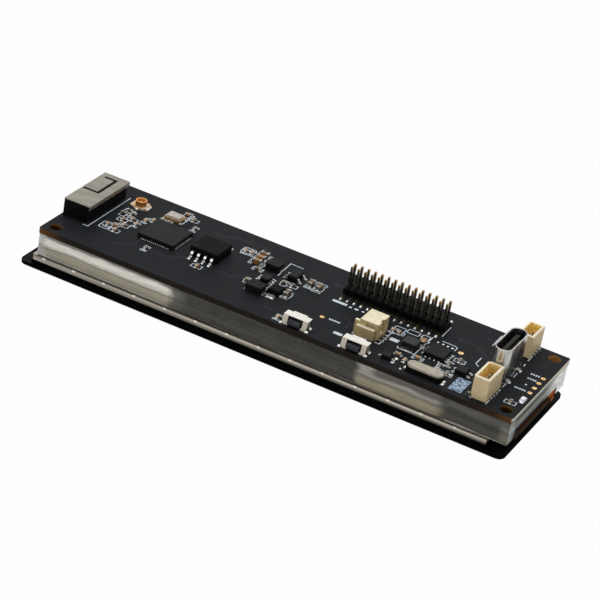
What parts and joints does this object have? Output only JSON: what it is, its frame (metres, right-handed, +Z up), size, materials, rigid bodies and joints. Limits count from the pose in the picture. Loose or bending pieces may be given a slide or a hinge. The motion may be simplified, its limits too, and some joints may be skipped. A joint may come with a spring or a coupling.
{
  "type": "touch screen controller board",
  "caption": "Long narrow display module with a controller board on its back, carrying an antenna, sockets, a pin header and side buttons.",
  "frame": {"origin": "middle of the cover glass's outer face, which lies on the table", "axes": "+X along the module towards the upright USB socket, -Y towards the edge with the side buttons, +Z up from the glass to the component side"},
  "size_m": [0.0916, 0.026, 0.0141],
  "materials": {
    "black_glass": "polished",
    "clear_bond": "gloss",
    "cell_glass": "polished",
    "silicon": "polished",
    "bezel_steel": "satin",
    "light_guide_plastic": "gloss",
    "lamp_strip": "matte",
    "polyimide": "satin",
    "dark_moulding": "matte",
    "black_tape": "matte",
    "clear_acrylic": "gloss",
    "solder_mask": "matte",
    "black_moulding": "matte",
    "tinned_sheet": "satin",
    "white_moulding": "matte",
    "gold_plate": "polished",
    "crystal_ceramic": "matte",
    "crystal_lid_metal": "satin",
    "chip_epoxy": "matte",
    "tinned_lead": "satin",
    "ferrite": "matte",
    "capacitor_ceramic": "satin",
    "resistor_ceramic": "satin",
    "pin_plate": "satin",
    "button_steel": "satin",
    "plunger_black": "satin",
    "cream_nylon": "satin",
    "can_metal": "satin",
    "socket_steel": "satin",
    "lamp_white": "gloss"
  },
  "bodies": {
    "module": {"cover_glass": "black_glass", "optical_adhesive": "clear_bond", "lcd_cell": "cell_glass", "display_driver_chip": "silicon", "backlight_bezel": "bezel_steel", "light_guide": "light_guide_plastic", "backlight_led_strip": "lamp_strip", "display_flex": "polyimide", "flex_connector": "dark_moulding", "spacer_tape": "black_tape", "spacer_frame": "clear_acrylic", "main_board": "solder_mask", "antenna_carrier": "black_moulding", "antenna_plate": "tinned_sheet", "coax_base": "white_moulding", "coax_contacts": "gold_plate", "crystal_base": "crystal_ceramic", "crystal_lid": "crystal_lid_metal", "processor_chip": "chip_epoxy", "processor_leads": "tinned_lead", "flash_chip": "chip_epoxy", "flash_leads": "tinned_lead", "charger_chip": "chip_epoxy", "charger_leads": "tinned_lead", "power_inductor": "ferrite", "boost_inductor": "ferrite", "charge_inductor": "ferrite", "load_switch_chip": "chip_epoxy", "inductor_ends": "tinned_lead", "rectifier_body": "chip_epoxy", "rectifier_tabs": "tinned_lead", "regulator_chip": "chip_epoxy", "regulator_leads": "tinned_lead", "small_chips": "chip_epoxy", "small_chip_leads": "tinned_lead", "capacitor_bodies": "capacitor_ceramic", "capacitor_ends": "tinned_lead", "resistor_bodies": "resistor_ceramic", "resistor_ends": "tinned_lead", "header_base": "black_moulding", "header_pins": "pin_plate", "left_button_base": "black_moulding", "left_button_cover": "button_steel", "right_button_base": "black_moulding", "right_button_cover": "button_steel", "battery_socket_housing": "cream_nylon", "battery_socket_contacts": "tinned_lead", "clock_base": "black_moulding", "clock_can": "can_metal", "front_socket_housing": "cream_nylon", "front_socket_contacts": "tinned_lead", "back_socket_housing": "cream_nylon", "back_socket_contacts": "tinned_lead", "usb_shell": "socket_steel", "usb_insert": "black_moulding", "usb_contacts": "gold_plate", "status_led": "lamp_white"},
    "left_button": {"left_button_plunger": "plunger_black"},
    "right_button": {"right_button_plunger": "plunger_black"}
  },
  "joints": [
    {"name": "left_button_press", "type": "slide", "parent": "module", "child": "left_button", "axis": [0, 1, 0], "range_m": [0, 0.0002], "stiffness_N_per_m": 8000},
    {"name": "right_button_press", "type": "slide", "parent": "module", "child": "right_button", "axis": [0, 1, 0], "range_m": [0, 0.0002], "stiffness_N_per_m": 8000}
  ]
}
